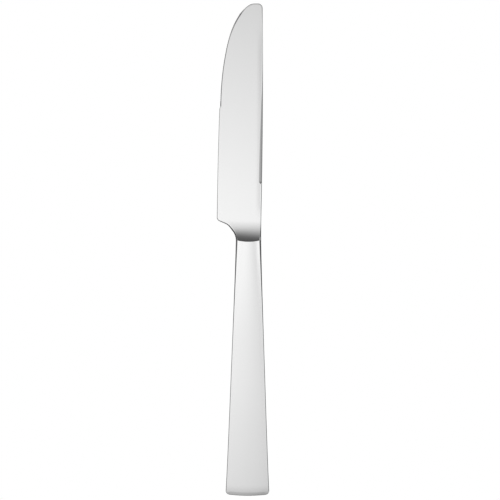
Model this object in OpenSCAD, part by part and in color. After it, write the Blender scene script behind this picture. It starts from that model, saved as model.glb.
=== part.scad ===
// Table knife with a hollow handle, lying on its flat side.
// The origin is on the table under the middle of the handle, on its centreline.
// +Y runs along the knife to the tip, the cutting edge is toward -X, +Z points up.
// The blade, its neck and its tang are one forging. Two pressed half shells are
// welded together round it as the handle, and set cement holds the tang inside.

/* [Overall] */
// Length of the knife from butt to tip
knife_len = 240; // [225:1:255]
// Length of the handle from butt to mouth
handle_len = 123; // [115:1:130]

/* [Handle] */
// Width of the handle at its mouth
neck_w = 12.3; // [11.5:0.1:14]
// Width of the handle across the butt
butt_w = 21.2; // [17:0.1:25]
// Thickness of the handle between its two flat faces
handle_t = 8; // [7:0.1:10]
// Radius of the slightly bowed end of the butt
butt_bow_r = 85; // [50:5:200]
// Corner radius of the butt, seen from above
butt_corner_r = 2.1; // [1.5:0.1:4]
// Radius of the tight round along the handle's edges
edge_r = 1.2; // [1.1:0.05:1.6]
// Radius of the soft shoulder between that round and the flat face
shoulder_r = 36; // [20:0.5:60]
// Width of the flat face where it runs out at the mouth
mouth_flat_w = 0.4; // [0.3:0.1:5]
// Corner radius of the flat face at the butt
face_corner_r = 1.2; // [0.5:0.1:1.5]

/* [Shells] */
// Sheet thickness of the two half shells
wall = 0.8; // [0.6:0.05:1]
// Height of the weld bead in the seam between the shells
bead_h = 0.6; // [0.4:0.1:1]
// Depth of the weld bead into the wall
bead_d = 0.4; // [0.2:0.05:0.5]

/* [Blade outline] */
// Distance of the heel of the edge from the centreline
heel_x = 15.5; // [14:0.1:18]
// Distance from the mouth of the handle to the heel's corner, before it is rounded
heel_y = 11.2; // [10.4:0.1:12.5]
// Radius of the rounded heel corner
heel_r = 2; // [0.8:0.1:2.6]
// Lean of the edge under the heel, from straight across the knife
heel_lean = 23; // [15:1:30]
// Distance from the mouth to the corner where the neck flares out, before it is rounded
flare_y = 3.8; // [3.3:0.1:4.6]
// Lean of the flare, from straight along the knife
flare_lean = 37; // [30:1:45]
// Radius of the bend between the neck's side and the flare
flare_r = 8; // [5:0.5:9.5]
// Radius of the bend between the flare and the edge under the heel
notch_r = 2.5; // [1:0.1:4]
// Distance of the edge from the centreline where the ground stretch begins
edge_mid_x = 14.5; // [13:0.1:15.4]
// Distance of that point from the mouth of the handle
edge_mid_y = 65.3; // [55:0.1:75]
// How far the ground stretch is set back from the blunt edge behind it
edge_step = 0.4; // [0.2:0.05:0.8]
// Length over which the edge steps back
edge_step_run = 1.2; // [0.4:0.1:2]
// Swell of the blunt edge between heel and step
edge_bow = 0.15; // [0:0.05:0.6]
// Distance from the centreline to the middle of the sweep up to the tip
sweep_x = 2.5; // [0:0.1:3.5]
// Distance of the spine from the centreline at the tip
tip_x = 6.4; // [6:0.1:7]
// Radius of the spine corner at the tip
tip_r = 2.2; // [1:0.1:2.4]
// Swell of the spine between neck and tip
spine_bow = 0.45; // [0:0.05:1]

/* [Blade thickness] */
// Thickness of the spine at the neck
spine_t = 2.4; // [2:0.1:3]
// Thickness of the spine at the tip, before the spine is bevelled
tip_t = 1.3; // [1.1:0.1:2]
// Thickness of the edge at the step
edge_t = 0.8; // [0.5:0.02:1]
// Length of the full section between handle mouth and hollow neck
rim_len = 0.45; // [0.3:0.05:1]
// Distance from the mouth to the end of the hollow neck
neck_len = 10.8; // [8:0.1:14]

/* [Spine bevel] */
// Distance from the mouth to the plunge where the bevel begins
bevel_y = 29.2; // [18:0.2:45]
// Width of the bevel at its plunge
bevel_w = 1.4; // [0.8:0.1:2]
// Width of the bevel at the tip
bevel_tip_w = 0.2; // [0.1:0.1:0.8]
// Slope of the bevel from the blade's face
bevel_angle = 25; // [10:1:27]

/* [Ground edge] */
// Width of the bevel ground along the sweep on both faces
ground_w = 0.6; // [0.4:0.1:1.5]
// Thickness that the grinding leaves at the edge
ground_t = 0.12; // [0.08:0.02:0.2]
// Length over which the grinding runs out toward the tip
ground_run = 9; // [5:0.5:15]
// Spacing of the fine teeth along the ground edge
tooth_pitch = 1; // [0.8:0.1:2]
// Depth of a tooth
tooth_depth = 0.15; // [0.08:0.01:0.25]
// Length of plain ground edge between the step and the first tooth
tooth_margin = 2.5; // [1:0.1:6]

/* [Tang and cement] */
// Length of the plug that fills the mouth of the handle
plug_len = 6; // [4:0.5:12]
// Gap round the plug in the mouth
plug_gap = 0.05; // [0.02:0.01:0.15]
// Length of the tang behind the plug
tang_len = 48; // [30:1:60]
// Width of the tang at the plug
tang_w = 6.2; // [5:0.1:8]
// Width of the tang at its end
tang_end_w = 4.2; // [3.6:0.1:5]
// Thickness of the tang
tang_t = 3; // [2:0.1:4]
// Radius of the notches that key the tang into the cement
key_r = 0.9; // [0.5:0.1:1.2]
// Spacing of the notches along the tang
key_pitch = 9; // [6:0.5:12]
// Shrinkage gap round the set cement
cement_gap = 0.03; // [0.02:0.01:0.1]

/* [Hidden] */
$fn = 96;

half_t = handle_t / 2;
mouth_y = handle_len / 2;
butt_y = -handle_len / 2;
blade_len = knife_len - handle_len;

// How far cuts run out past what they cut
over = 1;

// The sides of the handle lean out by this angle from mouth to butt.
taper = atan((butt_w - neck_w) / 2 / handle_len);

// Rolled edge: a tight round, then a soft shoulder that ends level with the flat face.
shoulder_d = (neck_w - mouth_flat_w) / 2;
shoulder_slope = asin((shoulder_d - edge_r) / (shoulder_r - edge_r));
shoulder_z = half_t - shoulder_r;
round_z = shoulder_z + (shoulder_r - edge_r) * cos(shoulder_slope);

// Number of straight steps in each curve
round_steps = 7;
shoulder_steps = 6;
corner_steps = 7;
butt_steps = 6;
spine_steps = 10;
sweep_steps = 40;
edge_steps = 8;
flare_steps = 12;
neck_steps = 40;

// The blade's faces are planes that thin the blade toward the edge and the tip.
tip_slope = (spine_t - tip_t) / 2 / (blade_len - neck_len);
edge_drop = (spine_t - edge_t) / 2 - tip_slope * (edge_mid_y - neck_len);
edge_slope = edge_drop / (neck_w / 2 + edge_mid_x);
face_z = spine_t / 2 - edge_slope * neck_w / 2;

// The hollow neck is an arc from the blade's face up to the rim, as a cone that is level there.
neck_rise = half_t - face_z - tip_slope * (neck_len - rim_len);
neck_chord = [neck_len - rim_len, half_t - face_z];
neck_turn = 2 * (atan2(neck_chord.y, neck_chord.x) - atan(tip_slope));
neck_r = norm(neck_chord) / (2 * sin(neck_turn / 2));

// The ground edge sweeps up to the tip as a quarter of an ellipse.
sweep_y = edge_mid_y + edge_step_run;
sweep_a = edge_mid_x - edge_step + sweep_x;
sweep_b = blade_len - sweep_y;

// On the edge's side the neck flares out, bends at the notch and runs on under the heel.
flare_way = [-sin(flare_lean), cos(flare_lean)];
heel_way = [-cos(heel_lean), sin(heel_lean)];
flare_corner = [-neck_w / 2, flare_y];
flare_len = cross([-heel_x, heel_y] - flare_corner, heel_way) / cross(flare_way, heel_way);
flare_c = flare_corner - [flare_r, flare_r * tan(flare_lean / 2)];
notch_turn = 90 - heel_lean - flare_lean;
notch_c = flare_corner + flare_way * (flare_len - notch_r * tan(notch_turn / 2))
    - notch_r * [cos(flare_lean), sin(flare_lean)];
heel_c = [heel_r - heel_x, heel_y + heel_r * tan(45 - heel_lean / 2)];

function arc(c, r, from, to, steps) =
    [for (i = [0:steps]) let (a = from + (to - from) * i / steps) c + r * [cos(a), sin(a)]];

function rest(list) = [for (i = [1:len(list) - 1]) list[i]];

// Points of the rolled edge as [distance in from the side, height above the middle plane].
function roll(inset) = concat(
    [for (i = [0:round_steps])
        let (a = (90 - shoulder_slope) * i / round_steps)
        [edge_r - (edge_r - inset) * cos(a), round_z + (edge_r - inset) * sin(a)]],
    [for (i = [1:shoulder_steps])
        let (a = 90 - shoulder_slope * (1 - i / shoulder_steps))
        [shoulder_d - (shoulder_r - inset) * cos(a), shoulder_z + (shoulder_r - inset) * sin(a)]]);

// Right half of the handle's outline, moved in by d, from its mouth round to the butt.
function side_x(y, d) = neck_w / 2 + (mouth_y - y) * tan(taper) - d / cos(taper);
function corner_y(d, r) =
    let (k = tan(taper), a = side_x(0, d + r), c = butt_y + butt_bow_r, m = a * k + c)
    (m - sqrt(m * m - (1 + k * k) * (a * a + c * c - pow(butt_bow_r - d - r, 2)))) / (1 + k * k);
function half_outline(d, mouth) =
    let (r = max(butt_corner_r - d, face_corner_r), y = corner_y(d, r), x = side_x(y, d + r))
    let (bow = [0, butt_y + butt_bow_r], turn = atan2(y - bow.y, x))
    concat([[side_x(mouth, d), mouth]],
        arc([x, y], r, taper, turn, corner_steps),
        rest(arc(bow, butt_bow_r - d, turn, -90, butt_steps)));
function mirrored(half) = concat(half, [for (i = [len(half) - 2:-1:0]) [-half[i].x, half[i].y]]);
function outline(d, mouth) = mirrored(half_outline(d, mouth));
function ring(d, z, mouth) = [for (p = outline(d, mouth)) [p.x, p.y, half_t + z]];

// Closed solid through a stack of rings with the same number of points.
module loft(rings) {
    n = len(rings[0]);
    last = (len(rings) - 1) * n;
    polyhedron(
        points = [for (r = rings) each r],
        faces = concat(
            [[for (j = [n - 1:-1:0]) j]],
            [[for (j = [0:n - 1]) last + j]],
            [for (i = [0:len(rings) - 2], j = [0:n - 1], side = [0, 1])
                let (k = (j + 1) % n, a = i * n, b = a + n)
                side == 0 ? [a + j, a + k, b + k] : [a + j, b + k, b + j]]));
}

// The handle's whole form, moved in all round by an inset.
module handle_form(inset, mouth) {
    points = roll(inset);
    loft(concat(
        [for (i = [len(points) - 1:-1:0]) ring(points[i].x, -points[i].y, mouth)],
        [for (p = points) ring(p.x, p.y, mouth)]));
}

// Strip in the seam between the shells, standing out by a given amount.
module seam_strip(out) {
    translate([0, 0, half_t - bead_h / 2])
        linear_extrude(bead_h)
            difference() {
                polygon(outline(-out, mouth_y + out));
                polygon(outline(bead_d, mouth_y + out + over));
            }
}

// Upper half of the hollow handle, with half the groove for the weld along its edge.
module shell() {
    difference() {
        handle_form(0, mouth_y);
        handle_form(wall, mouth_y + over);
        seam_strip(over);
        translate([-butt_w, butt_y - over, -over])
            cube([2 * butt_w, handle_len + 2 * over, half_t + over]);
    }
}

module handle_front_shell() {
    color("silver") shell();
}

module handle_back_shell() {
    color("silver") translate([0, 0, handle_t]) mirror([0, 0, 1]) shell();
}

module seam_weld() {
    color("lightgray") seam_strip(0);
}

function spine_x(y) =
    let (t = max(0, (y - neck_len) / (blade_len - tip_r - neck_len)))
    neck_w / 2 + (tip_x - neck_w / 2) * t + 4 * spine_bow * t * (1 - t);
function sweep(a) = [sweep_x - sweep_a * cos(a), sweep_y + sweep_b * sin(a)];
function sweep_out(a) = let (v = [-cos(a) / sweep_a, sin(a) / sweep_b]) v / norm(v);
function face_h(p) = face_z + edge_slope * p.x - tip_slope * (p.y - neck_len);

// Distance along the sweep at each degree of its angle, as [angle, distance].
sweep_run = [for (a = 0, s = 0; a <= 90; s = s + norm(sweep(a + 1) - sweep(a)), a = a + 1) [a, s]];
sweep_len = sweep_run[90][1];

// Outline of the blade and its neck, seen from above, with the mouth of the handle at y = 0.
module blade_outline() {
    polygon(concat(
        [[neck_w / 2, 0]],
        [for (i = [0:spine_steps])
            let (y = neck_len + (blade_len - tip_r - neck_len) * i / spine_steps)
            [spine_x(y), y]],
        rest(arc([tip_x - tip_r, blade_len - tip_r], tip_r, 0, 90, corner_steps)),
        [for (i = [sweep_steps:-1:0]) sweep(90 * i / sweep_steps)],
        [for (i = [0:edge_steps])
            let (t = i / edge_steps)
            let (x = edge_mid_x + (heel_x - edge_mid_x) * t + 4 * edge_bow * t * (1 - t))
            [-x, edge_mid_y + (heel_c.y - edge_mid_y) * t]],
        rest(arc(heel_c, heel_r, 180, 270 - heel_lean, corner_steps)),
        arc(notch_c, notch_r, 90 - heel_lean, flare_lean, corner_steps),
        arc(flare_c, flare_r, flare_lean, 0, flare_steps),
        [[-neck_w / 2, 0]]));
}

// Frame of the blade's upper face: x across it, y along it from the end of the neck, z out of it.
module on_face() {
    translate([0, neck_len, face_z])
        rotate([-atan(tip_slope * cos(atan(edge_slope))), -atan(edge_slope), 0])
            children();
}

// What is ground away above the hollow neck and the blade's face. The profile starts above
// the rim, and narrows toward the spine about the line where it crosses the rim.
module face_cut() {
    foot = 270 - atan(tip_slope);
    crest = foot - neck_turn;
    far = 2 * knife_len;
    profile = concat(
        arc(-neck_r * [cos(crest), sin(crest)], neck_r, crest - 3, foot, neck_steps),
        [[far, -neck_rise - tip_slope * far], [far, half_t]]);
    points = concat(profile, [[profile[0].x, half_t]]);
    loft([for (x = [1.3 * heel_x, -1.3 * heel_x])
        let (fade = 1 - edge_slope * x / neck_rise)
        [for (q = points) [x, rim_len + q.x * fade, half_t + q.y * fade]]]);
}

// What is ground away along the spine, from its plunge to the tip.
module spine_bevel() {
    x = spine_x(bevel_y) - bevel_w;
    tip = spine_x(blade_len - tip_r) - bevel_tip_w;
    on_face()
        translate([x, bevel_y - neck_len, 0])
            rotate([0, 0, -atan((tip - x) / (blade_len - tip_r - bevel_y))])
                rotate([0, bevel_angle, 0])
                    cube([4 * bevel_w, knife_len, 4 * spine_t]);
}

// Corner of the neck outside the rolled edge, as [distance in from the side, height].
// Its first face runs on out through the side, so that it meets the side at an angle.
module roll_corner() {
    points = roll(0);
    start = 2 * points[0] - points[1];
    polygon(concat(
        [[-over, start.y], start],
        rest(points),
        [[shoulder_d, half_t + over], [-over, half_t + over]]));
}

// The handle's rolled edge carried on along both sides of the neck and into the flare.
module neck_edges() {
    translate([neck_w / 2, neck_len, 0])
        rotate([90, 0, 0])
            linear_extrude(neck_len + over)
                mirror([1, 0])
                    roll_corner();
    translate([-neck_w / 2, flare_c.y, 0])
        rotate([90, 0, 0])
            linear_extrude(flare_c.y + over)
                roll_corner();
    translate([flare_c.x, flare_c.y, 0])
        rotate_extrude()
            translate([flare_r, 0])
                roll_corner();
}

// What is ground away above the bevel along the sweep. It starts with a plunge at the step,
// and toward the tip it lifts out of the blade.
module ground_edge() {
    loft([for (i = [0:sweep_steps])
        let (a = 90 * i / sweep_steps, p = sweep(a), out = sweep_out(a))
        let (rise = (face_h(p - out * ground_w) - ground_t / 2) / ground_w)
        let (left = sweep_len - lookup(a, sweep_run))
        let (z = ground_t / 2 + face_h(p) * max(0, 1 - left / ground_run))
        let (in_end = p - out * (ground_w + over), out_end = p + out * ground_t)
        [[in_end.x, in_end.y, z + rise * (ground_w + over)],
            [in_end.x, in_end.y, half_t],
            [out_end.x, out_end.y, half_t],
            [out_end.x, out_end.y, z - rise * ground_t]]]);
}

// Scallops at even steps along the sweep, up to where the grinding runs out.
module teeth() {
    r = (pow(tooth_pitch / 2, 2) + pow(tooth_depth, 2)) / (2 * tooth_depth);
    turns = [for (p = sweep_run) [p[1], p[0]]];
    count = floor((sweep_len - tooth_margin - ground_run) / tooth_pitch);
    for (i = [0:count - 1]) {
        a = lookup(tooth_margin + (i + 0.5) * tooth_pitch, turns);
        translate(sweep(a) + sweep_out(a) * (r - tooth_depth))
            cylinder(r = r, h = 2 * spine_t, center = true);
    }
}

// Plug and tang behind the blade, with a gap round them where the cement is cut.
module plug(gap) {
    points = roll(wall + gap);
    right = [for (p = points) [neck_w / 2 - p.x, p.y]];
    half = concat(right, [for (i = [len(right) - 1:-1:0]) [-right[i].x, right[i].y]]);
    translate([0, rim_len / 2, 0])
        rotate([90, 0, 0])
            linear_extrude(rim_len / 2 + plug_len)
                polygon(concat(half, [for (i = [len(half) - 1:-1:0]) [half[i].x, -half[i].y]]));
}

module tang(gap) {
    end_y = -plug_len - tang_len - gap;
    linear_extrude(tang_t + 2 * gap, center = true)
        difference() {
            polygon([
                [tang_w / 2 + gap, over - plug_len],
                [tang_end_w / 2 + gap, end_y],
                [-tang_end_w / 2 - gap, end_y],
                [-tang_w / 2 - gap, over - plug_len]]);
            for (i = [1:floor((tang_len - 3 * key_r) / key_pitch)], side = [-1, 1]) {
                y = -plug_len - i * key_pitch;
                x = tang_w / 2 + (tang_end_w - tang_w) / 2 * i * key_pitch / tang_len;
                translate([side * x, y]) circle(key_r - gap);
            }
        }
}

module blade() {
    color("gainsboro")
        translate([0, mouth_y, half_t])
            union() {
                difference() {
                    linear_extrude(handle_t, center = true) blade_outline();
                    for (side = [0, 1])
                        mirror([0, 0, side]) {
                            neck_edges();
                            face_cut();
                            spine_bevel();
                            ground_edge();
                        }
                    teeth();
                }
                plug(plug_gap);
                tang(0);
            }
}

module tang_cement() {
    color("tan")
        difference() {
            handle_form(wall + cement_gap, mouth_y - plug_len - cement_gap);
            translate([0, mouth_y, half_t]) tang(cement_gap);
        }
}

blade();
handle_front_shell();
handle_back_shell();
seam_weld();
tang_cement();
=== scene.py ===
import math

import bmesh
import bpy
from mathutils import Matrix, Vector


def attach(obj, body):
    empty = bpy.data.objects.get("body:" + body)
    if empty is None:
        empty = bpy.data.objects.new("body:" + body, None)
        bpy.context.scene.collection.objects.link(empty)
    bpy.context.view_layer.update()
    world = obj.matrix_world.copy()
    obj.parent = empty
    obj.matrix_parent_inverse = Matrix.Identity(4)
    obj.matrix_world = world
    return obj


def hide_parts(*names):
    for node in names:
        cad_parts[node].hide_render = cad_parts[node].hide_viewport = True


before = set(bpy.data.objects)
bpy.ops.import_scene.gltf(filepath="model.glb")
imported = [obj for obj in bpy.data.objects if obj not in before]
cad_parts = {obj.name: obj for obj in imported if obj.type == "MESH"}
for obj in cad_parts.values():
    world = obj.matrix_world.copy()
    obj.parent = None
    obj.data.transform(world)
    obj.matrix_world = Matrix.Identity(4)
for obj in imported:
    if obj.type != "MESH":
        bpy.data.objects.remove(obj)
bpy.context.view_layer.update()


# Blade forging
# Blade, hollow neck and tang are one piece of stainless steel, ground thin toward edge and tip and
# polished. The sweep gets a fine toothed bevel, and cement holds the tang in the handle.
MM = 0.001
HANDLE_LEN = 123.0
HALF_THICK = 4.0
MOUTH = Vector((0, HANDLE_LEN / 2, HALF_THICK))

# The forging is modelled in millimetres, with the middle of the handle's mouth at the origin,
# x toward the spine and y toward the tip. Its upper half is made first.
BLADE_LEN = 117.0
HALF_NECK = 6.15
RIM_LEN = 0.25  # from the mouth to the hollow
NECK_LEN = 10.68  # from the mouth to the end of the hollow
SPINE_T = 2.4  # thickness of the spine at the end of the hollow
TIP_T = 1.3  # thickness of the spine at the tip
EDGE_T = 0.8  # thickness of the blunt edge where it ends

# The neck's side flares out to the notch and goes on under the heel. The blunt edge runs up from
# the heel to a small step, and the sweep from there to the tip. Leans are in degrees.
FLARE_Y = 3.28
FLARE_R = 8.0
FLARE_LEAN = 37.0
NOTCH_R = 6.0
HEEL_X = 15.5
HEEL_Y = 10.83
HEEL_R = 2.0
HEEL_LEAN = 23.0
EDGE_MID_X = 14.5  # where the blunt edge ends
EDGE_MID_Y = 65.3
EDGE_BOW = 0.15
EDGE_STEP = 0.4
EDGE_STEP_RUN = 1.2
SWEEP_X = 2.5  # where the sweep meets the top of the tip
TIP_X = 6.4
TIP_R = 2.2
SPINE_BOW = 0.45

# The rim behind the neck is crowned and has rolled edges, as the handle that it sits against.
CROWN = 0.49
ROLL_R = 1.2
WALL = 0.8  # thickness of the handle's sheet


def blend(a, b, t):
    """The value a part t of the way from a to b."""
    return a + (b - a) * t


def soft(t):
    """Eases from 0 to 1."""
    t = min(max(t, 0.0), 1.0)
    return t * t * (3 - 2 * t)


def meet(low, high, before):
    """Halves a stretch down to the place where before(place) turns false."""
    for halving in range(40):
        middle = (low + high) / 2
        low, high = (middle, high) if before(middle) else (low, middle)
    return low


def eased(d, r):
    """How far a corner eased to radius r has dropped, a distance d in from it."""
    return r - math.sqrt(r * r - (r - max(d, 0.0)) ** 2) if d < r else 0.0


def crowned(x, half_width, crown=CROWN):
    """How far the crowned face of the handle has dropped, a distance x from the centreline."""
    return crown * (x / half_width) ** 2


# The blade's faces are planes that fall toward the edge and the tip.
tip_slope = (SPINE_T - TIP_T) / 2 / (BLADE_LEN - NECK_LEN)
edge_drop = (SPINE_T - EDGE_T) / 2 - tip_slope * (EDGE_MID_Y - NECK_LEN)
edge_slope = edge_drop / (HALF_NECK + EDGE_MID_X)
face_z = SPINE_T / 2 - edge_slope * HALF_NECK

# The hollow neck is an arc from the blade's face up to the rim, as a cone that is level there.
# The hollow's end leans a little toward the tip on the spine's side.
HOLLOW_LEAN = 0.06
LEAN_RUN = 7.0
neck_rise = HALF_THICK - face_z - tip_slope * (NECK_LEN - RIM_LEN)
face_turn = math.atan(tip_slope)
neck_turn = 2 * (math.atan2(HALF_THICK - face_z, NECK_LEN - RIM_LEN) - face_turn)
neck_r = math.hypot(NECK_LEN - RIM_LEN, HALF_THICK - face_z) / (2 * math.sin(neck_turn / 2))
hollow_y = RIM_LEN + neck_r * math.sin(face_turn + neck_turn)
hollow_z = HALF_THICK + neck_r * math.cos(face_turn + neck_turn)


def face_height(x, y):
    """Height of the blade's face over the middle plane."""
    return face_z + edge_slope * x - tip_slope * (y - NECK_LEN)


def hollow_fade(x):
    """How deep the hollow is off the centreline, as a share of its depth there."""
    return 1 - edge_slope * x / neck_rise


def hollow_end(x):
    """How far from the mouth the hollow runs out into the blade's face."""
    return RIM_LEN + (NECK_LEN - RIM_LEN) * hollow_fade(x) + HOLLOW_LEAN * x


def hollow_height(x, y):
    """Height of the hollow neck, or of the blade's face past its end."""
    if y >= hollow_end(x):
        return face_height(x, y)
    fade = hollow_fade(x)
    upright_y = y - HOLLOW_LEAN * x * soft((y - RIM_LEN) / LEAN_RUN)
    along = RIM_LEN + (upright_y - RIM_LEN) / fade
    z = hollow_z - math.sqrt(neck_r ** 2 - (along - hollow_y) ** 2)
    return HALF_THICK + (z - HALF_THICK) * fade - tip_slope * (y - upright_y)


# The neck's side toward the edge is a chain of straights and bends, from the mouth to the top of
# the heel's rounded corner. Each move is a length and a turn to the left in degrees.
flare_way = Vector((-math.sin(math.radians(FLARE_LEAN)), math.cos(math.radians(FLARE_LEAN))))
heel_way = Vector((-math.cos(math.radians(HEEL_LEAN)), math.sin(math.radians(HEEL_LEAN))))
heel_corner = Vector((-HEEL_X, HEEL_Y))
flare_corner = Vector((-HALF_NECK, FLARE_Y))
flare_len = (heel_corner - flare_corner).cross(heel_way) / flare_way.cross(heel_way)
notch_corner = flare_corner + flare_way * flare_len
notch_turn = 90 - HEEL_LEAN - FLARE_LEAN
heel_turn = 90 - HEEL_LEAN
flare_cut = FLARE_R * math.tan(math.radians(FLARE_LEAN) / 2)
notch_cut = NOTCH_R * math.tan(math.radians(notch_turn) / 2)
heel_cut = HEEL_R * math.tan(math.radians(heel_turn) / 2)
side_moves = (
    (FLARE_Y - flare_cut, 0),
    (FLARE_R * math.radians(FLARE_LEAN), FLARE_LEAN),
    (flare_len - flare_cut - notch_cut, 0),
    (NOTCH_R * math.radians(notch_turn), notch_turn),
    ((heel_corner - notch_corner).length - notch_cut - heel_cut, 0),
    (HEEL_R * math.radians(heel_turn), -heel_turn))
side_len = sum(length for length, turn in side_moves)


def neck_side(run):
    """Point of the neck's side a distance from the mouth, and the way into the steel there."""
    x, y, heading = -HALF_NECK, 0.0, math.pi / 2
    for length, turn in side_moves:
        part = min(run, length)
        swing = math.radians(turn) * part / length
        if turn == 0:
            x += part * math.cos(heading)
            y += part * math.sin(heading)
        else:
            r = length / math.radians(turn)
            x += r * (math.sin(heading + swing) - math.sin(heading))
            y += r * (math.cos(heading) - math.cos(heading + swing))
        heading += swing
        run -= part
        if run <= 0:
            break
    return Vector((x, y)), Vector((math.sin(heading), -math.cos(heading)))


def spine_x(y):
    """The spine is straight along the neck, then swells a little on its way to the tip."""
    t = max(0.0, (y - NECK_LEN) / (BLADE_LEN - TIP_R - NECK_LEN))
    return HALF_NECK + (TIP_X - HALF_NECK) * t + 4 * SPINE_BOW * t * (1 - t)


# Polishing eases the corners to these radii: behind the rim, at the heel and along the spine.
# A bevel along the back of the spine cuts off most of its corner.
NECK_EASE = 1.2
HEEL_EASE = 0.45
SPINE_EASE = 0.45
BEVEL_W = 1.5

# Along each side of the blade runs a strip of faces: some for the eased corner, some for the
# bevel inside it up to its crease, some that reach onto the flat face.
ROUND_COLS = 7
BEVEL_COLS = 5
REACH_COLS = 8
STRIP = ROUND_COLS + BEVEL_COLS + REACH_COLS
CREASE_COL = ROUND_COLS + BEVEL_COLS
EASE_MARGIN = 0.2
SPINE_REACH = 3.6


def strip_steps(r, crease_at, reach):
    """Distances in from the side of the strip's lines, for a corner eased to r."""
    steps = [r * (1 - math.cos(math.pi / 2 * k / ROUND_COLS)) for k in range(ROUND_COLS)]
    steps += [blend(r, crease_at, k / BEVEL_COLS) for k in range(BEVEL_COLS)]
    return steps + [blend(crease_at, reach, k / REACH_COLS) for k in range(REACH_COLS + 1)]


roll_strip = [ROLL_R * (1 - math.cos(math.pi / 2 * k / STRIP)) for k in range(STRIP + 1)]
heel_strip = strip_steps(HEEL_EASE, HEEL_EASE + EASE_MARGIN, ROLL_R)
spine_strip = strip_steps(SPINE_EASE, BEVEL_W, SPINE_REACH)

# The neck's corner along the notch is ground off steeply over a width that takes a share of the
# steel's height, and the polished face falls softly to it.
NOTCH_W = 0.78
NOTCH_SHARE = 0.66
NOTCH_ROUND = 1.3
NOTCH_RUN = 2.2
NOTCH_FALL = 0.18
FALL_START = 0.9
half_side = side_len / 2


def notch_drop(run, d):
    """How far the neck's side has dropped, a distance d in from it. Its corner is rolled at the
    mouth, then ground off along the notch, and eased again at the heel."""
    toward_heel = soft(run / side_len)
    rolled = eased(d, blend(NECK_EASE, HEEL_EASE, toward_heel))
    wide = blend(NOTCH_W, HEEL_EASE, toward_heel)
    high = NOTCH_SHARE * hollow_height(*neck_side(run)[0])
    ground = high * max(0.0, 1 - d / wide) ** NOTCH_ROUND
    in_notch = soft(run / NOTCH_RUN) * soft((side_len - run) / NOTCH_RUN)
    fall = NOTCH_FALL * soft(run / FLARE_Y - FALL_START) * soft((side_len - run) / half_side)
    return blend(rolled, ground, in_notch) + fall * max(0.0, 1 - d / ROLL_R) ** 2


# A place in the neck's two strips comes with its distance in from the side and its drop there.
def neck_part(y):
    return soft((y - RIM_LEN) / (NECK_LEN - RIM_LEN))


def on_notch(run, k):
    side, inward = neck_side(run)
    d = blend(roll_strip[k], heel_strip[k], neck_part(side.y))
    return side + inward * d, d, notch_drop(run, d)


def on_back(y, k):
    t = neck_part(y)
    d = blend(roll_strip[k], spine_strip[k], t)
    return Vector((HALF_NECK - d, y)), d, eased(d, blend(NECK_EASE, SPINE_EASE, t))


def rim_height(x, d):
    return HALF_THICK - crowned(x, HALF_NECK) - eased(d, ROLL_R)


def within_rim(place, d, drop):
    """Whether the hollow is still above the rolled rim at a place."""
    return hollow_height(*place) - drop > rim_height(place.x, d)


def within_hollow(place, d, drop):
    return place.y < hollow_end(place.x)


# The neck is a grid: rows from the mouth to the end of the hollow, lines from the notch to the
# spine's side. One row lies on the crest where the hollow meets the rolled rim.
MIDDLE_COLS = 30
RIM_ROWS = 5
HOLLOW_ROWS = 60
CREST, END = 0, 1
notch_lines = []
back_lines = []
for k in range(STRIP + 1):
    notch_lines.append((meet(0, half_side, lambda run: within_rim(*on_notch(run, k))),
                        meet(0, side_len, lambda run: within_hollow(*on_notch(run, k)))))
    back_lines.append((meet(0, NECK_LEN / 2, lambda y: within_rim(*on_back(y, k))),
                       meet(0, 2 * NECK_LEN, lambda y: within_hollow(*on_back(y, k)))))


def inner_ends(which):
    """Places of both strips' inmost lines at the crest, or at the end of the hollow."""
    return on_notch(notch_lines[-1][which], STRIP)[0], on_back(back_lines[-1][which], STRIP)[0]


def crest_point(x):
    y = meet(-RIM_LEN, NECK_LEN / 2, lambda y: within_rim(Vector((x, y)), ROLL_R, 0))
    return Vector((x, y))


# The rows' middles are bent to follow the crest and the end of the hollow.
crest_left, crest_right = inner_ends(CREST)
end_left, end_right = inner_ends(END)
bends = []
for c in range(1, MIDDLE_COLS):
    at_crest = crest_left.lerp(crest_right, c / MIDDLE_COLS)
    at_end = end_left.lerp(end_right, c / MIDDLE_COLS)
    bends.append((crest_point(at_crest.x) - at_crest, Vector((0, hollow_end(at_end.x) - at_end.y))))


def bent(part):
    """How far the middle of a row is moved at each of its lines."""
    if part < 0:
        return [near * (1 + part) for near, far in bends]
    return [near * (1 - part) ** 2 + far * part ** 2 for near, far in bends]


def neck_row(part, height):
    """A row of the neck. Parts -1 to 0 lie on the rim and parts 0 to 1 in the hollow."""
    def reach(line):
        return line[CREST] * (1 + part) if part < 0 else blend(line[CREST], line[END], part)
    left = [on_notch(reach(line), k) for k, line in enumerate(notch_lines)]
    right = [on_back(reach(line), k) for k, line in enumerate(back_lines)]
    inner_left, inner_right = left[-1][0], right[-1][0]
    middle = [inner_left.lerp(inner_right, c / MIDDLE_COLS) for c in range(1, MIDDLE_COLS)]
    middle = [(place + nudge, ROLL_R, 0) for place, nudge in zip(middle, bent(part))]
    return [(*place, height(place, d, drop)) for place, d, drop in left + middle + right[::-1]]


neck_rows = [neck_row(i / RIM_ROWS - 1, lambda place, d, drop: rim_height(place.x, d))
             for i in range(RIM_ROWS)]
neck_rows += [neck_row(i / HOLLOW_ROWS, lambda place, d, drop: hollow_height(*place) - drop)
              for i in range(HOLLOW_ROWS + 1)]


def set_points(name, points):
    """Names the sheet just added and sets its points, which are in millimetres."""
    sheet = bpy.context.object
    sheet.name = sheet.data.name = name
    for vertex, point in zip(sheet.data.vertices, points):
        vertex.co = Vector(point) * MM
    return sheet


def lay_grid(name, rows):
    """A grid whose rows follow lists of points."""
    bpy.ops.object.select_all(action="DESELECT")
    bpy.ops.mesh.primitive_grid_add(x_subdivisions=len(rows[0]) - 1, y_subdivisions=len(rows) - 1,
                                    size=BLADE_LEN * MM)
    return set_points(name, [point for row in rows for point in row])


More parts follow.
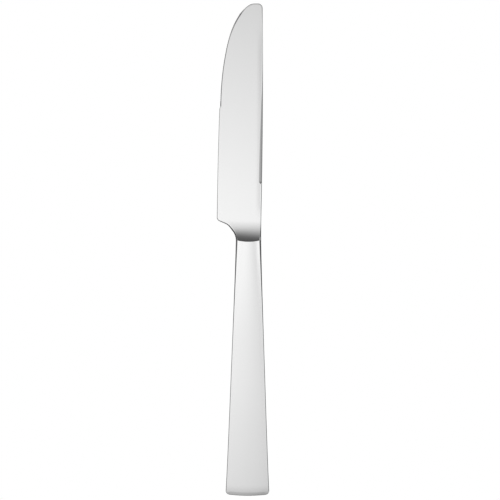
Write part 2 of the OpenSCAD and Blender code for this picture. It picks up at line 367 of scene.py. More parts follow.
def lay_face(name, points):
    """A single face cut to an outline of points."""
    bpy.ops.object.select_all(action="DESELECT")
    bpy.ops.mesh.primitive_circle_add(vertices=len(points), radius=BLADE_LEN * MM, fill_type="NGON")
    return set_points(name, points)


def crease(sheet, rows, pairs):
    """Marks edges of a grid sharp. Each pair of (row, column) places is an edge."""
    width = len(rows[0])
    wanted = {frozenset(row * width + column for row, column in pair) for pair in pairs}
    bpy.ops.object.mode_set(mode="EDIT")
    bpy.ops.mesh.select_mode(type="EDGE")
    bpy.ops.mesh.select_all(action="DESELECT")
    bpy.ops.object.mode_set(mode="OBJECT")
    for edge in sheet.data.edges:
        edge.select = frozenset(edge.vertices) in wanted
    bpy.ops.object.mode_set(mode="EDIT")
    bpy.ops.mesh.mark_sharp()
    bpy.ops.object.mode_set(mode="OBJECT")


neck = lay_grid("neck", neck_rows)
crease(neck, neck_rows, [((row, c), (row, c + 1)) for row in (0, RIM_ROWS)
                         for c in range(len(neck_rows[0]) - 1)])

# The ground edge sweeps up to the tip as a quarter of an ellipse, which swells out a little
# halfway and draws in nearer the tip. The places and runs of both are in degrees of the sweep.
SWEEP_SWELL = 0.18
SWELL_AT, SWELL_RUN = 46, 20
DRAW_AT, DRAW_RUN = 74, 13
STEPS_PER_DEGREE = 4
sweep_y = EDGE_MID_Y + EDGE_STEP_RUN
sweep_a = EDGE_MID_X - EDGE_STEP + SWEEP_X
sweep_b = BLADE_LEN - sweep_y


def sweep(angle):
    """Point of the sweep at an angle in degrees, and the way into the blade there."""
    c = math.cos(math.radians(angle))
    s = math.sin(math.radians(angle))
    inward = Vector((c / sweep_a, -s / sweep_b)).normalized()
    swell = SWEEP_SWELL * (soft(1 - abs(angle - SWELL_AT) / SWELL_RUN)
                           - soft(1 - abs(angle - DRAW_AT) / DRAW_RUN))
    return Vector((SWEEP_X - sweep_a * c, sweep_y + sweep_b * s)) - inward * swell, inward


sweep_run = [0.0]
for step in range(90 * STEPS_PER_DEGREE):
    here, there = sweep(step / STEPS_PER_DEGREE)[0], sweep((step + 1) / STEPS_PER_DEGREE)[0]
    sweep_run.append(sweep_run[-1] + (there - here).length)
sweep_len = sweep_run[-1]


def sweep_angle(run):
    """Angle of the sweep at a distance along it from the step."""
    step = max(i for i in range(90 * STEPS_PER_DEGREE) if sweep_run[i] <= run)
    part = (run - sweep_run[step]) / (sweep_run[step + 1] - sweep_run[step])
    return (step + part) / STEPS_PER_DEGREE


# Fine round scallops are cut along the sweep, from a margin at the step to where the grinding
# runs out. Each row of the sweep is a distance along it and how deep the scallop bites there.
TOOTH_PITCH = 1.0
TOOTH_DEPTH = 0.15
TOOTH_MARGIN = 2.5
GROUND_RUN = 9.0
MARGIN_ROWS = 5
TOOTH_ROWS = 6
PLAIN_ROWS = 24
HAIR = 1e-6  # keeps the last row just inside the sweep
tooth_r = ((TOOTH_PITCH / 2) ** 2 + TOOTH_DEPTH ** 2) / (2 * TOOTH_DEPTH)
tooth_count = int((sweep_len - TOOTH_MARGIN - GROUND_RUN) / TOOTH_PITCH)
teeth_end = TOOTH_MARGIN + tooth_count * TOOTH_PITCH
bites = [(TOOTH_MARGIN * i / MARGIN_ROWS, 0.0) for i in range(MARGIN_ROWS)]
for tooth in range(tooth_count):
    for u in (i / TOOTH_ROWS for i in range(TOOTH_ROWS)):
        bite = math.sqrt(tooth_r ** 2 - ((u - 0.5) * TOOTH_PITCH) ** 2) - (tooth_r - TOOTH_DEPTH)
        bites.append((TOOTH_MARGIN + (tooth + u) * TOOTH_PITCH, bite))
bites += [(blend(teeth_end, sweep_len - HAIR, i / PLAIN_ROWS), 0.0) for i in range(PLAIN_ROWS + 1)]

# Round the blade the strip is a second grid: from the heel up the blunt edge, along the sweep,
# over the tip and down the spine to the neck. Each row holds its points from the side inward.
edge_rows = [neck_rows[-1][:STRIP + 1]]


def add_row(start, inward, steps, height):
    places = [start + inward * d for d in steps]
    edge_rows.append([(*place, height(place, d)) for place, d in zip(places, steps)])


def plain_row(start, inward, r, crease_at, fall=0.0):
    """A row whose corner is eased to r, where the face falls a little to the side."""
    add_row(start, inward, strip_steps(r, crease_at, ROLL_R),
            lambda place, d: face_height(*place) - eased(d, r) - fall * (1 - d / ROLL_R) ** 2)


HEEL_ROWS = 6
for i in range(1, HEEL_ROWS + 1):
    run = blend(notch_lines[0][END], side_len, i / HEEL_ROWS)
    add_row(*neck_side(run), heel_strip, lambda place, d: face_height(*place) - notch_drop(run, d))

# The blunt edge is eased less than the heel, from which its ease goes over in a part of its length.
BLUNT_EASE = 0.36
HEEL_PART = 0.3
BLUNT_ROWS = 32
heel_top = neck_side(side_len)[0].y
for i in range(BLUNT_ROWS - 1, -1, -1):
    t = i / BLUNT_ROWS
    x = blend(EDGE_MID_X, HEEL_X, t) + 4 * EDGE_BOW * t * (1 - t)
    swell = HEEL_X - EDGE_MID_X + 4 * EDGE_BOW * (1 - 2 * t)
    inward = Vector((1, swell / (heel_top - EDGE_MID_Y))).normalized()
    r = blend(BLUNT_EASE, HEEL_EASE, soft((t - (1 - HEEL_PART)) / HEEL_PART))
    plain_row(Vector((-x, blend(EDGE_MID_Y, heel_top, t))), inward, r, r + EASE_MARGIN)

# The step's last row stands just short of the sweep's first, which leaves a steep little wall.
# The sweep's bevel is ground to a thin edge and gets wider between two angles toward the tip.
STEP_ROWS = 4
STEP_WALL = 0.02
GROUND_W = 0.48
TIP_GROUND_W = 0.82
WIDEN_FROM, WIDEN_TO = 36.0, 60.0
GROUND_T = 0.12
INTO_BLADE = Vector((1, 0))
step_foot = Vector((-EDGE_MID_X, EDGE_MID_Y))
step_head = sweep(0)[0]
for i in range(1, STEP_ROWS + 1):
    back_off = Vector((0, STEP_WALL if i == STEP_ROWS else 0.0))
    place = step_foot.lerp(step_head, soft(i / STEP_ROWS)) - back_off
    plain_row(place, INTO_BLADE, BLUNT_EASE, GROUND_W)

# Past the teeth the bevel lifts off and the corner is eased instead, as far as the edge is thick.
TIP_EASE = 0.5
TIP_FALL = 0.04
TIP_PACE = 1.5
ground_start = len(edge_rows)
for run, bite in bites:
    angle = sweep_angle(run)
    point, inward = sweep(angle)
    widened = soft((angle - WIDEN_FROM) / (WIDEN_TO - WIDEN_FROM))
    ground_w = blend(GROUND_W, TIP_GROUND_W, widened)
    rise = (face_height(*(point + inward * ground_w)) - GROUND_T / 2) / ground_w
    edge_z = GROUND_T / 2 + face_height(*point) * max(0.0, 1 - (sweep_len - run) / GROUND_RUN)
    near_tip = soft(TIP_PACE * (run - teeth_end) / (sweep_len - teeth_end))
    r = TIP_EASE * near_tip
    fall = TIP_FALL * near_tip
    ease_high = min(r, min(face_height(*point), edge_z) - GROUND_T / 2)
    ease_share = ease_high / max(r, GROUND_T)
    crease_at = ground_w - bite
    steps = [crease_at * k / CREASE_COL for k in range(CREASE_COL)]
    steps += [blend(crease_at, ROLL_R, k / REACH_COLS) for k in range(REACH_COLS + 1)]
    add_row(point + inward * bite, inward, steps, lambda place, d: (
        min(face_height(*place), edge_z + rise * (d + bite))
        - eased(d, r) * ease_share - fall * (1 - d / ROLL_R) ** 2))
ground_end = len(edge_rows)


def arc(cx, cy, r, start, end, steps):
    """Points on an arc between two angles in degrees."""
    turns = [math.radians(start + (end - start) * i / steps) for i in range(steps + 1)]
    return [(cx + r * math.cos(t), cy + r * math.sin(t)) for t in turns]


# The tip's top is short and straight, and a round corner leads from it to the spine.
BEVEL_TIP_W = 0.15
TIP_ROWS = 18
tip_crease = TIP_EASE + BEVEL_TIP_W
tip_corner = Vector((TIP_X - TIP_R, BLADE_LEN - TIP_R))
for t in (1 / 3, 2 / 3):
    top = Vector((blend(SWEEP_X, tip_corner.x, t), BLADE_LEN))
    plain_row(top, Vector((0, -1)), TIP_EASE, tip_crease, TIP_FALL)
for place in map(Vector, arc(*tip_corner, TIP_R, 90, 0, TIP_ROWS)):
    fall = TIP_FALL * soft((place.y - tip_corner.y) / TIP_R)
    plain_row(place, (tip_corner - place).normalized(), TIP_EASE, tip_crease, fall)

# The back of the spine is bevelled from the tip down. The bevel gets wider on the way, then runs
# out on a curve to a short end wall. Polishing lets the face fall a little to the spine.
BEVEL_Y = 30.05
BEVEL_ANGLE = 24.1
BEVEL_EASE = 0.14
BEVEL_WAIT = 0.2  # part of the spine in which the bevel stays as narrow as at the tip
RUN_OUT = 1.3
RUN_OUT_SHARE = 0.4
END_WALL = 0.28
SPINE_FALL = 0.22
SPINE_FALL_RUN = 3.4
TIP_FADE = 25.0
SPINE_ROWS = 60
RUN_OUT_ROWS = 10
BACK_ROWS = 14
bevel_fall = math.tan(math.radians(BEVEL_ANGLE) - math.atan(edge_slope))

# From the tip on, the strip reaches further, the bevel deepens and the corner gets tighter, each
# this many times as fast as the bevel goes down the spine.
REACH_PACE = 5
CUT_PACE = 15
EASE_PACE = 8


def back_fall(d, y):
    """How far polishing has let the face fall, a distance d in from the spine."""
    fade = soft((y - NECK_LEN) / NECK_LEN) * soft((BLADE_LEN - TIP_R - y) / TIP_FADE)
    return SPINE_FALL * fade * max(0.0, 1 - d / SPINE_FALL_RUN) ** 2


def spine_row(y, width, crease_at, reach, cut, r):
    """A row in from the spine, whose bevel has a width and is cut to a share of its depth."""
    add_row(Vector((spine_x(y), y)), -INTO_BLADE, strip_steps(r, crease_at, reach),
            lambda place, d: face_height(*place) - back_fall(d, y) - eased(d, r)
            - bevel_fall * cut * max(0.0, width - d))


spine_start = len(edge_rows)
for i in range(1, SPINE_ROWS + 1):
    t = i / SPINE_ROWS
    width = blend(BEVEL_TIP_W, BEVEL_W, soft((t - BEVEL_WAIT) / (1 - BEVEL_WAIT)))
    reach = blend(ROLL_R, SPINE_REACH, soft(t * REACH_PACE))
    r = blend(TIP_EASE, BEVEL_EASE, soft(t * EASE_PACE))
    spine_row(blend(BLADE_LEN - TIP_R, BEVEL_Y, t), width, max(width, tip_crease), reach,
              soft(t * CUT_PACE), r)
for i in range(1, RUN_OUT_ROWS + 1):
    t = i / RUN_OUT_ROWS
    width = BEVEL_W * (1 - RUN_OUT_SHARE * t * t)
    spine_row(BEVEL_Y - RUN_OUT * t, width, width, SPINE_REACH, 1, BEVEL_EASE)
bevel_end = BEVEL_Y - RUN_OUT - END_WALL
spine_row(bevel_end, 0, width, SPINE_REACH, 0, SPINE_EASE)
spine_end = len(edge_rows)
back_end = neck_rows[-1][-1][1]
for i in range(1, BACK_ROWS):
    spine_row(blend(bevel_end, back_end, i / BACK_ROWS), 0, BEVEL_W, SPINE_REACH, 0, SPINE_EASE)
edge_rows.append(neck_rows[-1][:-STRIP - 2:-1])

edge_strip = lay_grid("edge_strip", edge_rows)
creases = [((row, CREASE_COL), (row + 1, CREASE_COL))
           for first, last in ((ground_start, ground_end), (spine_start, spine_end))
           for row in range(first, last - 1)]
creases += [((row, 0), (row + 1, 0)) for row in range(ground_start, ground_end - 1)]
creases += [((row, c), (row, c + 1))
            for row in (ground_start - 1, ground_start, spine_end - 1) for c in range(CREASE_COL)]
crease(edge_strip, edge_rows, creases)


def only(piece):
    """Makes a piece the only selected object."""
    bpy.ops.object.select_all(action="DESELECT")
    piece.select_set(True)
    bpy.context.view_layer.objects.active = piece


def join(first, *others):
    """Joins other sheets to the first."""
    only(first)
    for sheet in others:
        sheet.select_set(True)
    bpy.ops.object.join()
    return first


def sew(gap):
    """Merges the points of the active mesh that lie closer than a gap, and stays in edit mode."""
    bpy.ops.object.mode_set(mode="EDIT")
    bpy.ops.mesh.select_mode(type="VERT")
    bpy.ops.mesh.select_all(action="SELECT")
    bpy.ops.mesh.remove_doubles(threshold=gap * MM)


def pick_open_edges(piece):
    """Selects the open edges of a piece that is in edit mode."""
    bpy.ops.mesh.select_mode(type="EDGE")
    bpy.ops.mesh.select_all(action="DESELECT")
    shape = bmesh.from_edit_mesh(piece.data)
    for edge in shape.edges:
        edge.select = edge.is_boundary
    bmesh.update_edit_mesh(piece.data)


def face_outward():
    """Turns every face of the mesh in edit mode outward, then leaves edit mode."""
    bpy.ops.mesh.select_all(action="SELECT")
    bpy.ops.mesh.normals_make_consistent(inside=False)
    bpy.ops.object.mode_set(mode="OBJECT")


def apply(piece, kind, **settings):
    """Adds a modifier to a piece and applies it."""
    only(piece)
    step = piece.modifiers.new(kind.lower(), kind)
    for key, value in settings.items():
        setattr(step, key, value)
    bpy.ops.object.modifier_apply(modifier=step.name)


# One flat face closes the blade inside the strip, and the three are sewn together. The open rim
# is pulled down to the middle plane, and the under half is the same mirrored.
FINE_GAP = 0.0002
JOIN_GAP = 0.0005
flat = lay_face("flat", [row[-1] for row in edge_rows] + neck_rows[-1][-STRIP - 2:STRIP:-1])
blade = join(neck, edge_strip, flat)
blade.name = blade.data.name = "polished_blade"
sew(FINE_GAP)
pick_open_edges(blade)
bpy.ops.mesh.extrude_region_move()
bpy.ops.transform.resize(value=(1, 1, 0), center_override=(0, 0, 0))
bpy.ops.object.mode_set(mode="OBJECT")
apply(blade, "MIRROR", use_axis=(False, False, True), merge_threshold=JOIN_GAP * MM)
bpy.ops.object.mode_set(mode="EDIT")
face_outward()

# A plug behind the rim fills the handle's mouth. The tang behind it narrows to its end,
# and round notches along both sides key it into the cement.
PLUG_LEN = 6.0
PLUG_GAP = 0.05
PLUG_PARTS = 8
TANG_LEN = 48.0
TANG_W = 6.2
TANG_END_W = 4.2
TANG_T = 3.0
TANG_ROOT = 1.0  # how deep the tang starts inside the plug
KEY_R = 0.9
KEY_PITCH = 9.0
KEY_PARTS = 12


def pull_out(piece, along):
    """Makes a face into a solid bar by pulling it along a direction."""
    bpy.ops.object.mode_set(mode="EDIT")
    bpy.ops.mesh.select_all(action="SELECT")
    bpy.ops.mesh.extrude_region_move(TRANSFORM_OT_translate={"value": Vector(along) * MM})
    face_outward()
    return piece


plug_in = WALL + PLUG_GAP
plug_r = ROLL_R - plug_in
quarter = []
for i in range(PLUG_PARTS + 1):
    d = plug_r * (1 - math.cos(math.pi / 2 * i / PLUG_PARTS))
    x = HALF_NECK - plug_in - d
    quarter.append((x, HALF_THICK - plug_in - crowned(x, HALF_NECK) - eased(d, plug_r)))
shoulder_x = quarter[-1][0]
for i in range(1, PLUG_PARTS):
    x = shoulder_x * (1 - i / PLUG_PARTS)
    quarter.append((x, HALF_THICK - plug_in - crowned(x, HALF_NECK)))
upper = quarter + [(-x, z) for x, z in reversed(quarter)]
section = upper + [(x, -z) for x, z in reversed(upper)]
plug = pull_out(lay_face("plug", [(x, RIM_LEN / 2, z) for x, z in section]),
                (0, -RIM_LEN / 2 - PLUG_LEN, 0))
tang_side = [(TANG_W / 2, TANG_ROOT - PLUG_LEN)]
for i in range(1, int((TANG_LEN - 3 * KEY_R) / KEY_PITCH) + 1):
    x = blend(TANG_W, TANG_END_W, i * KEY_PITCH / TANG_LEN) / 2
    tang_side += arc(x, -PLUG_LEN - i * KEY_PITCH, KEY_R, 90, 270, KEY_PARTS)
tang_side.append((TANG_END_W / 2, -PLUG_LEN - TANG_LEN))
tang_outline = tang_side + [(-x, y) for x, y in reversed(tang_side)]
tang = pull_out(lay_face("tang", [(x, y, -TANG_T / 2) for x, y in tang_outline]), (0, 0, TANG_T))
for bar in (plug, tang):
    crisp = bar.data.attributes.new("sharp_edge", "BOOLEAN", "EDGE")
    crisp.data.foreach_set("value", [True] * len(bar.data.edges))
    apply(blade, "BOOLEAN", operation="UNION", solver="EXACT", object=bar)
    bpy.data.objects.remove(bar, do_unlink=True)


def set_in_place():
    """Moves the mesh in edit mode from the mouth at the origin to its place in the knife."""
    bpy.ops.mesh.select_all(action="SELECT")
    bpy.ops.transform.translate(value=MOUTH * MM)


def polish(piece, crease_angle=180):
    """Smooth shading up to the creases, with the broad faces keeping their own direction."""
    only(piece)
    bpy.ops.object.shade_smooth_by_angle(angle=math.radians(crease_angle), keep_sharp_edges=True)
    apply(piece, "WEIGHTED_NORMAL", keep_sharp=True, weight=100)


only(blade)
bpy.ops.object.mode_set(mode="EDIT")
set_in_place()
bpy.ops.object.mode_set(mode="OBJECT")
polish(blade)


def bright_steel(name, colour, shade, smooth, worn, lines):
    """Polished stainless steel: fine lines left by the polishing mop and faint hazy patches.
    smooth and worn are the least and the greatest roughness, lines the scale of the mop lines."""
    steel = bpy.data.materials.new(name)
    steel.use_nodes = True
    nodes, links = steel.node_tree.nodes, steel.node_tree.links
    shader = nodes["Principled BSDF"]
    shader.inputs["Metallic"].default_value = 1.0
    place = nodes.new("ShaderNodeTexCoord")
    stretch = nodes.new("ShaderNodeMapping")
    stretch.inputs["Scale"].default_value = lines
    mop = nodes.new("ShaderNodeTexNoise")
    mop.inputs["Scale"].default_value = 1.0
    mop.inputs["Detail"].default_value = 3.0
    haze = nodes.new("ShaderNodeTexNoise")
    haze.inputs["Scale"].default_value = 38.0
    haze.inputs["Detail"].default_value = 4.0
    tone = nodes.new("ShaderNodeMix")
    tone.data_type = "RGBA"
    tone.inputs["A"].default_value = (*shade, 1)
    tone.inputs["B"].default_value = (*colour, 1)
    both = nodes.new("ShaderNodeMath")
    both.operation = "MULTIPLY"
    gloss = nodes.new("ShaderNodeMapRange")
    gloss.inputs["From Min"].default_value = 0.12
    gloss.inputs["From Max"].default_value = 0.42
    gloss.inputs["To Min"].default_value = smooth
    gloss.inputs["To Max"].default_value = worn
    relief = nodes.new("ShaderNodeBump")
    relief.inputs["Strength"].default_value = 0.06
    relief.inputs["Distance"].default_value = 0.00001
    links.new(place.outputs["Object"], stretch.inputs["Vector"])
    links.new(stretch.outputs["Vector"], mop.inputs["Vector"])
    links.new(place.outputs["Object"], haze.inputs["Vector"])
    links.new(haze.outputs["Fac"], tone.inputs["Factor"])
    links.new(tone.outputs["Result"], shader.inputs["Base Color"])
    links.new(mop.outputs["Fac"], both.inputs[0])
    links.new(haze.outputs["Fac"], both.inputs[1])
    links.new(both.outputs["Value"], gloss.inputs["Value"])
    links.new(gloss.outputs["Result"], shader.inputs["Roughness"])
    links.new(mop.outputs["Fac"], relief.inputs["Height"])
    links.new(relief.outputs["Normal"], shader.inputs["Normal"])
    return steel


blade.data.materials.append(bright_steel(
    "blade_polish", colour=(0.638, 0.638, 0.638), shade=(0.618, 0.618, 0.618),
    smooth=0.08, worn=0.16, lines=(2600, 70, 2600)))
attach(blade, "root")
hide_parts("blade")


# Cement
# Set cement round the tang fills the hollow handle and keeps it from rattling.
# It is poured in as a paste and stays out of sight, so the solid keeps its shape here.
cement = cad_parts["tang_cement"]
set_cement = bpy.data.materials.new("set_cement")
set_cement.use_nodes = True
nodes, links = set_cement.node_tree.nodes, set_cement.node_tree.links
shader = nodes["Principled BSDF"]
shader.inputs["Roughness"].default_value = 0.9
grain_place = nodes.new("ShaderNodeTexCoord")
grit = nodes.new("ShaderNodeTexNoise")
grit.inputs["Scale"].default_value = 900.0
grit.inputs["Detail"].default_value = 6.0
tone = nodes.new("ShaderNodeMix")
tone.data_type = "RGBA"
tone.inputs["A"].default_value = (0.42, 0.38, 0.32, 1)
tone.inputs["B"].default_value = (0.62, 0.58, 0.5, 1)
pits = nodes.new("ShaderNodeBump")
pits.inputs["Strength"].default_value = 0.5
pits.inputs["Distance"].default_value = 0.0002
links.new(grain_place.outputs["Object"], grit.inputs["Vector"])
links.new(grit.outputs["Fac"], tone.inputs["Factor"])
links.new(tone.outputs["Result"], shader.inputs["Base Color"])
links.new(grit.outputs["Fac"], pits.inputs["Height"])
links.new(pits.outputs["Normal"], shader.inputs["Normal"])
for slot in cement.material_slots:
    slot.material = set_cement


# Handle shells
# Two half shells are pressed from stainless sheet, the back one like the front turned over, and are
# welded along the seam. Their rolled edges get tighter toward the butt, whose bowed end is soft.
HALF_BUTT = 10.6
WAIST = 0.22  # how far the sides draw in between the mouth and the butt
BUTT_BOW_R = 85.0
BUTT_CORNER_R = 2.1
SIDE_ROLL_R = 0.48
SIDE_ROLL_RUN = 55.0
BUTT_CROWN = 0.14
CROWN_RUN = 34.0
BUTT_ROLL_R = 1.95
BUTT_ROLL_H = 0.95
BUTT_FALL = 0.2
BUTT_FALL_RUN = 5.0

# A groove for the weld bead is left at the seam, and its lips are eased.
BEAD_H = 0.6
BEAD_D = 0.4
SEAM_EASE = 0.04

lean = (HALF_BUTT - HALF_NECK) / HANDLE_LEN
taper = math.atan(lean)
bow_y = BUTT_BOW_R - HANDLE_LEN


def side_x(y, d):
    """The handle's right side, moved in by d, at a height y over its mouth."""
    return HALF_NECK - y * lean - d / math.cos(taper)


# The butt's corners are arcs that touch the sides and the bow. Their centres lie where the side
# and the bow meet when both are moved in by the corner's radius, which is a quadratic for y.
inset_x = side_x(0, BUTT_CORNER_R)
inset_r = BUTT_BOW_R - BUTT_CORNER_R
square = 1 + lean * lean
half_linear = inset_x * lean + bow_y
constant = inset_x * inset_x + bow_y ** 2 - inset_r * inset_r
corner_y = (half_linear - math.sqrt(half_linear * half_linear - square * constant)) / square
corner_x = side_x(corner_y, BUTT_CORNER_R)
bow_turn = math.atan2(corner_y - bow_y, corner_x)

# Stations along half the outline, from the mouth down the side, round the corner and to the
# middle of the bow: what each lies on, where, and the reach and height of the rolled edge there.
SIDE_STATIONS = 20
END_STATIONS = 14
CORNER_STATIONS = 14
BOW_STATIONS = 18
END_LEN = 10.0
side_end = corner_y + BUTT_CORNER_R * math.sin(taper)
side_stops = [(side_end + END_LEN) * i / SIDE_STATIONS for i in range(SIDE_STATIONS)]
side_stops += [side_end + END_LEN * (1 - i / END_STATIONS) for i in range(END_STATIONS + 1)]
stations = []
for y in side_stops:
    r = blend(SIDE_ROLL_R, ROLL_R, max(0.0, 1 + y / SIDE_ROLL_RUN) ** 2)
    stations.append(("side", y, (r, r)))
for i in range(1, CORNER_STATIONS + 1):
    t = i / CORNER_STATIONS
    roll_size = (blend(SIDE_ROLL_R, BUTT_ROLL_R, soft(t)), blend(SIDE_ROLL_R, BUTT_ROLL_H, soft(t)))
    stations.append(("corner", blend(taper, bow_turn, t), roll_size))
for i in range(1, BOW_STATIONS + 1):
    angle = blend(bow_turn, -math.pi / 2, i / BOW_STATIONS)
    stations.append(("bow", angle, (BUTT_ROLL_R, BUTT_ROLL_H)))


def station_place(kind, stop, d):
    """Place of a station, moved in from the outline by d."""
    if kind == "side":
        y = stop - d * math.sin(taper) * stop / side_end
        return side_x(y, d) - WAIST * (1 - (2 * stop / side_end - 1) ** 4), y
    if kind == "corner":
        r = BUTT_CORNER_R - d
        return corner_x + r * math.cos(stop), corner_y + r * math.sin(stop)
    r = BUTT_BOW_R - d
    return r * math.cos(stop), bow_y + r * math.sin(stop)


def mirrored(half):
    """A half row carried on over the centreline, where its last point lies."""
    return half + [(-x, *rest) for x, *rest in reversed(half[:-1])]


def pressed_height(x, y):
    """Height of the crowned face, which falls away softly toward the butt."""
    from_bow = BUTT_BOW_R - math.hypot(x, y - bow_y)
    crown = blend(BUTT_CROWN, CROWN, math.exp(min(0.0, y) / CROWN_RUN))
    return (HALF_THICK - crowned(x, side_x(y, 0), crown)
            - BUTT_FALL * max(0.0, 1 - from_bow / BUTT_FALL_RUN) ** 2)


# Each skin of a shell is a strip from the seam over the rolled edge, and a grid inside it.
ROLL_COLS = 12
WALL_COLS = 5
LEAST_ROLL = 0.25
seam = BEAD_H / 2


def skin_steps(kind, stop, roll_size, depth):
    """Points of the strip at a station, for a skin at a depth inside the outer one."""
    r, high = (max(size - depth, LEAST_ROLL) if depth else size for size in roll_size)
    roll = [depth + r * (1 - math.cos(math.pi / 2 * k / ROLL_COLS)) for k in range(ROLL_COLS + 1)]
    points = []
    for d in roll + [BUTT_CORNER_R]:
        x, y = station_place(kind, stop, d)
        points.append((x, y, pressed_height(x, y) - depth - eased(d - depth, r) * high / r))
    wall_top = points[0][2]
    if depth:
        wall = [(depth, wall_top * k / WALL_COLS) for k in range(WALL_COLS)]
    else:
        wall = [(BEAD_D, 0.0), (BEAD_D, seam), (SEAM_EASE, seam), (0.0, seam + SEAM_EASE),
                (0.0, (seam + wall_top) / 2)]
    return [(*station_place(kind, stop, d), z) for d, z in wall] + points


def lay_skin(name, depth):
    """One skin of the shell, with the grid's rows bent to the bow at the butt's end."""
    columns = [skin_steps(*station, depth) for station in stations]
    strip = lay_grid(name, [mirrored(list(row)) for row in zip(*columns)])
    bow_angles = [stop for kind, stop, roll_size in stations[len(side_stops) + CORNER_STATIONS - 1:]]
    rows = []
    for i, stop in enumerate(side_stops):
        x_in, y_in = station_place("side", stop, BUTT_CORNER_R)
        bowed = soft((i - SIDE_STATIONS) / END_STATIONS)
        half = []
        for angle in bow_angles:
            x = x_in * math.cos(angle) / math.cos(bow_turn)
            y = y_in + bowed * inset_r * (math.sin(angle) - math.sin(bow_turn))
            half.append((x, y, pressed_height(x, y) - depth))
        rows.append(mirrored(half))
    skin = join(strip, lay_grid(name + "_middle", rows))
    sew(JOIN_GAP)
    bpy.ops.object.mode_set(mode="OBJECT")
    return skin


front = join(lay_skin("front_shell", 0), lay_skin("inside", WALL))
bpy.ops.object.mode_set(mode="EDIT")
pick_open_edges(front)
bpy.ops.mesh.bridge_edge_loops()
set_in_place()
face_outward()

only(front)
bpy.ops.object.duplicate()
back = bpy.context.object
back.name = back.data.name = "back_shell"
bpy.ops.object.mode_set(mode="EDIT")
bpy.ops.mesh.select_all(action="SELECT")
bpy.ops.transform.rotate(value=math.pi, orient_axis="Y", center_override=(0, 0, HALF_THICK * MM))
bpy.ops.object.mode_set(mode="OBJECT")

SHARP_ANGLE = 30
sheet_polish = bright_steel(
    "handle_polish", colour=(0.648, 0.648, 0.648), shade=(0.628, 0.628, 0.628),
    smooth=0.07, worn=0.15, lines=(1800, 60, 1800))
for shell, node in ((front, "handle_front_shell"), (back, "handle_back_shell")):
    polish(shell, SHARP_ANGLE)
    shell.data.materials.append(sheet_polish)
    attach(shell, "root")
    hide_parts(node)


# Seam weld
# A bead of weld metal fills the groove between the two shells, round both sides and the
# butt. It is ground flush and brushed, so only a fine line shows from the side.
bead_rows = []
for d, z in ((0.0, -seam), (0.0, seam), (BEAD_D, seam), (BEAD_D, -seam), (0.0, -seam)):
    half = [(*station_place(kind, stop, d), z) for kind, stop, roll_size in stations]
    bead_rows.append(mirrored(half))
bead = lay_grid("seam_bead", bead_rows)
sew(JOIN_GAP)
bpy.ops.mesh.fill_holes(sides=4)
set_in_place()
face_outward()
polish(bead, SHARP_ANGLE)
bead.data.materials.append(bright_steel(
    "ground_weld", colour=(0.58, 0.575, 0.56), shade=(0.52, 0.515, 0.5),
    smooth=0.2, worn=0.34, lines=(300, 300, 5200)))
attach(bead, "root")
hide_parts("seam_weld")


# Studio
# A plain pale floor under a soft dome of light, and the camera straight above the knife.
# The dome is bright overhead and darker past the tip, with pale light again low down.
FLOOR_SIZE = 6.0  # metres
FLOOR_GAP = 0.02  # millimetres under the knife
FLOOR_TONE = 0.18
bpy.ops.object.select_all(action="DESELECT")
bpy.ops.mesh.primitive_plane_add(size=FLOOR_SIZE, location=(0, 0, -FLOOR_GAP * MM))
floor = bpy.context.object
floor.name = "floor"
paper = bpy.data.materials.new("pale_paper")
paper.use_nodes = True
nodes, links = paper.node_tree.nodes, paper.node_tree.links
nodes.clear()
white = nodes.new("ShaderNodeEmission")
white.inputs["Color"].default_value = (1, 1, 1, 1)
shaded = nodes.new("ShaderNodeBsdfDiffuse")
shaded.inputs["Color"].default_value = (FLOOR_TONE, FLOOR_TONE, FLOOR_TONE, 1)
seen = nodes.new("ShaderNodeLightPath")
choose = nodes.new("ShaderNodeMixShader")
surface = nodes.new("ShaderNodeOutputMaterial")
links.new(seen.outputs["Is Camera Ray"], choose.inputs["Fac"])
links.new(shaded.outputs["BSDF"], choose.inputs[1])
links.new(white.outputs["Emission"], choose.inputs[2])
links.new(choose.outputs["Shader"], surface.inputs["Surface"])
floor.data.materials.append(paper)

# Brightness of the dome by degrees from overhead: across the knife, then along it.
ACROSS = ((-90, 0.05), (-80, 0.08), (-70, 0.2), (-60, 0.4), (-52, 0.6), (-45, 0.95), (-35, 1.15),
          (-20, 1.12), (-10, 1.05), (-5.7, 1.055), (-2.5, 1.03), (0, 1.0), (2, 0.965), (4.3, 0.918),
          (6.5, 0.865), (8.2, 0.838), (9.5, 0.862), (11.5, 0.95), (14, 1.08), (20, 1.12), (30, 1.1),
          (38, 0.9), (44, 0.72), (50, 0.6), (56, 0.3), (62, 0.1), (90, 0.04))
ALONG = ((-90, 0.45), (-60, 0.46), (-40, 0.48), (-30, 0.52), (-20, 0.775), (-18.5, 0.805),
         (-15, 0.845), (-11, 0.9), (-7, 0.91), (-3.5, 0.97), (0, 1.0), (3, 1.0), (5, 0.985),
         (8.4, 0.94), (10, 0.915), (16, 0.828), (22.6, 0.715), (29, 0.57), (35, 0.41), (42, 0.262),
         (48, 0.162), (55, 0.108), (62, 0.082), (66, 0.085), (70, 0.6), (78, 0.8), (90, 0.8))
DOME_STRENGTH = 1.38
RAMP_TOP = 1.25
world = bpy.data.worlds.new("studio_dome")
bpy.context.scene.world = world
world.use_nodes = True
nodes, links = world.node_tree.nodes, world.node_tree.links
nodes.clear()
aim = nodes.new("ShaderNodeTexCoord")
axes = nodes.new("ShaderNodeSeparateXYZ")
links.new(aim.outputs["Generated"], axes.inputs["Vector"])
upward = nodes.new("ShaderNodeMath")
upward.operation = "ADD"
upward.inputs[1].default_value = 1.0
links.new(axes.outputs["Z"], upward.inputs[0])
product = nodes.new("ShaderNodeMix")
product.data_type = "RGBA"
product.blend_type = "MULTIPLY"
product.inputs["Factor"].default_value = 1.0
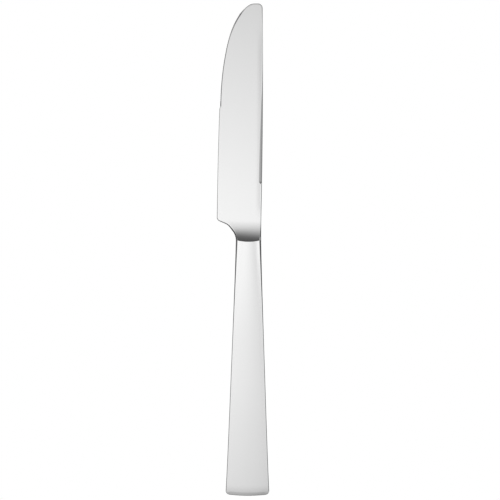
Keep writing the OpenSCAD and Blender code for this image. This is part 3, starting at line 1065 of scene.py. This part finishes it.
for axis, falloff, factor in (("X", ACROSS, "A"), ("Y", ALONG, "B")):
    slope = nodes.new("ShaderNodeMath")
    slope.operation = "DIVIDE"
    links.new(axes.outputs[axis], slope.inputs[0])
    links.new(upward.outputs["Value"], slope.inputs[1])
    centre = nodes.new("ShaderNodeMath")
    centre.operation = "MULTIPLY_ADD"
    centre.inputs[1].default_value = 0.5
    centre.inputs[2].default_value = 0.5
    links.new(slope.outputs["Value"], centre.inputs[0])
    ramp = nodes.new("ShaderNodeValToRGB")
    ramp.color_ramp.interpolation = "LINEAR"
    while len(ramp.color_ramp.elements) < len(falloff):
        ramp.color_ramp.elements.new(0.5)
    for stop, (degrees, value) in zip(ramp.color_ramp.elements, falloff):
        stop.position = 0.5 + 0.5 * math.tan(math.radians(degrees) / 2)
        stop.color = (value / RAMP_TOP,) * 3 + (1,)
    links.new(centre.outputs["Value"], ramp.inputs["Fac"])
    links.new(ramp.outputs["Color"], product.inputs[factor])
dome = nodes.new("ShaderNodeBackground")
dome.inputs["Strength"].default_value = DOME_STRENGTH * RAMP_TOP ** 2
links.new(product.outputs["Result"], dome.inputs["Color"])

# Pale cards stand low round the studio, in its four corners.
CARD_START = 0.36
CARD_FULL = 0.45
CARD_STRENGTH = 1.1
off_axes = nodes.new("ShaderNodeMath")
off_axes.operation = "MULTIPLY"
links.new(axes.outputs["X"], off_axes.inputs[0])
links.new(axes.outputs["Y"], off_axes.inputs[1])
any_corner = nodes.new("ShaderNodeMath")
any_corner.operation = "ABSOLUTE"
links.new(off_axes.outputs["Value"], any_corner.inputs[0])
cards = nodes.new("ShaderNodeMapRange")
cards.interpolation_type = "SMOOTHSTEP"
cards.inputs["From Min"].default_value = CARD_START
cards.inputs["From Max"].default_value = CARD_FULL
cards.inputs["To Max"].default_value = CARD_STRENGTH
links.new(any_corner.outputs["Value"], cards.inputs["Value"])
card_light = nodes.new("ShaderNodeBackground")
links.new(cards.outputs["Result"], card_light.inputs["Strength"])
all_light = nodes.new("ShaderNodeAddShader")
links.new(dome.outputs["Background"], all_light.inputs[0])
links.new(card_light.outputs["Background"], all_light.inputs[1])
backdrop = nodes.new("ShaderNodeBackground")
backdrop.inputs["Color"].default_value = (0.97, 0.97, 0.97, 1)
seen = nodes.new("ShaderNodeLightPath")
choose = nodes.new("ShaderNodeMixShader")
sky = nodes.new("ShaderNodeOutputWorld")
links.new(seen.outputs["Is Camera Ray"], choose.inputs["Fac"])
links.new(all_light.outputs["Shader"], choose.inputs[1])
links.new(backdrop.outputs["Background"], choose.inputs[2])
links.new(choose.outputs["Shader"], sky.inputs["Surface"])
bpy.context.scene.view_settings.view_transform = "Standard"

# The camera's place over the frame is in millimetres, and its slight turn in degrees.
CAMERA_X = 0.75
CAMERA_Y = 57.78
CAMERA_TURN = 0.236
LENS_HEIGHT = 320.0
FRAME_WIDTH = 244.95
SENSOR = 36.0
bpy.ops.object.camera_add(location=Vector((CAMERA_X, CAMERA_Y, HALF_THICK + LENS_HEIGHT)) * MM,
                          rotation=(0, 0, math.radians(CAMERA_TURN)))
camera = bpy.context.object
camera.name = "overhead_camera"
camera.data.sensor_width = SENSOR
camera.data.lens = SENSOR * LENS_HEIGHT / FRAME_WIDTH
bpy.context.scene.camera = camera
